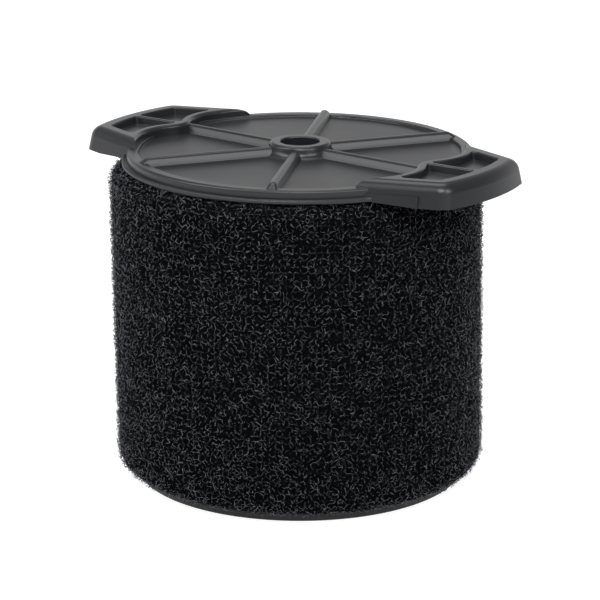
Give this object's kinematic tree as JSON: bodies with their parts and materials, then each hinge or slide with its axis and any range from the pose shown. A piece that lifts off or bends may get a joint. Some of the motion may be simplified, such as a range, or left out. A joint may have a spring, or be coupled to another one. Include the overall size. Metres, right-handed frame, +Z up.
{
  "type": "wet vacuum foam filter",
  "caption": "Thick open-cell foam sleeve between a flat base ring and a ribbed moulded cap with a central stud hole and a pull handle on each side, for wet pick-up in a workshop vacuum.",
  "frame": {"origin": "on the sleeve's axis, in the underside of the base ring that the filter stands on", "axes": "+Z up along the sleeve's axis and out through the stud hole, X through both handles"},
  "size_m": [0.2526, 0.205, 0.1881],
  "materials": {
    "cap_moulding": "satin moulded, dark grey",
    "open_cell_foam": "coarse open-cell foam, black",
    "ring_moulding": "satin moulded, black"
  },
  "bodies": {
    "root": {"handle_cap": "cap_moulding", "foam_sleeve": "open_cell_foam", "base_ring": "ring_moulding"}
  },
  "joints": []
}
